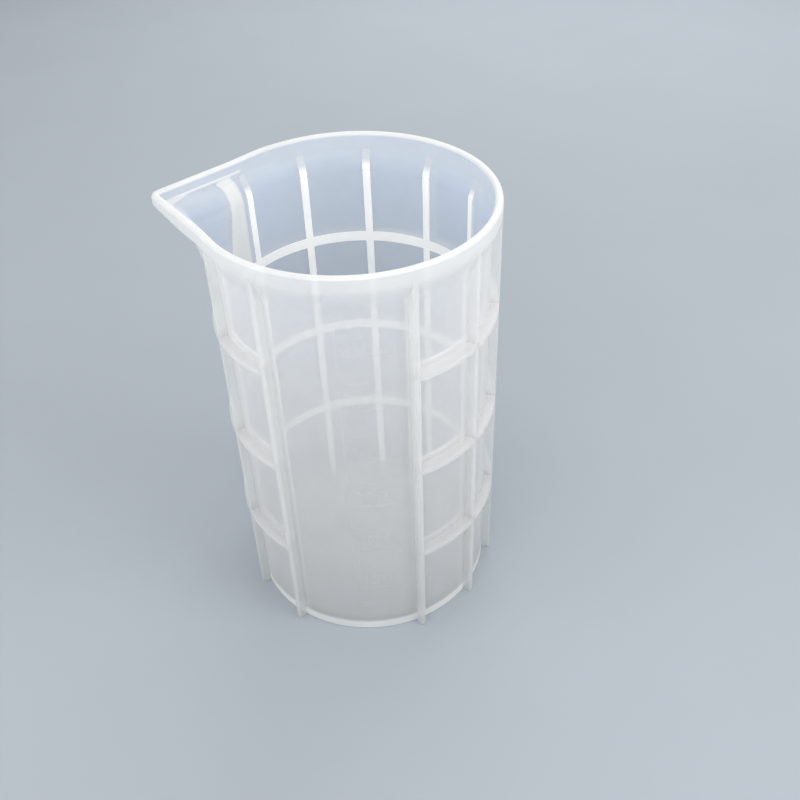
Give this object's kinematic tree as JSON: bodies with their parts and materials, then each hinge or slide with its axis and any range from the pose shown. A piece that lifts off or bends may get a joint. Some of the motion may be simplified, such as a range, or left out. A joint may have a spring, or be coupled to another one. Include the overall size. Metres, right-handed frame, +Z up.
{
  "type": "mixing cup",
  "caption": "Soft translucent cup for measuring and mixing resin, with a pouring spout, upright ribs, ring lines and a raised scale.",
  "frame": {"origin": "centre of the flat underside, on the axis of the round cup", "axes": "+Z up along the cup's axis; the spout points to -X; the smooth panel with the scale faces -Y"},
  "size_m": [0.104, 0.09, 0.148],
  "materials": {
    "silicone_wall": "translucent milky silicone, smooth moulded, satin",
    "silicone_rim": "translucent milky silicone, whiter where it is thick, satin",
    "silicone_ribs": "translucent milky silicone, whiter where it is thick, satin",
    "silicone_scale": "translucent milky silicone, faint raised marks"
  },
  "bodies": {
    "root": {"cup_floor": "silicone_wall", "cup_wall": "silicone_wall", "rim_band": "silicone_rim", "spout_shell": "silicone_wall", "spout_rim_back": "silicone_rim", "spout_rim_front": "silicone_rim", "spout_tip": "silicone_rim", "rib_1": "silicone_ribs", "rib_2": "silicone_ribs", "rib_3": "silicone_ribs", "rib_4": "silicone_ribs", "rib_5": "silicone_ribs", "rib_6": "silicone_ribs", "rib_7": "silicone_ribs", "rib_8": "silicone_ribs", "rib_9": "silicone_ribs", "rib_10": "silicone_ribs", "ring_lower": "silicone_ribs", "ring_middle": "silicone_ribs", "ring_upper": "silicone_ribs", "scale_line": "silicone_scale", "scale_ticks": "silicone_scale", "scale_numbers": "silicone_scale"}
  },
  "joints": []
}
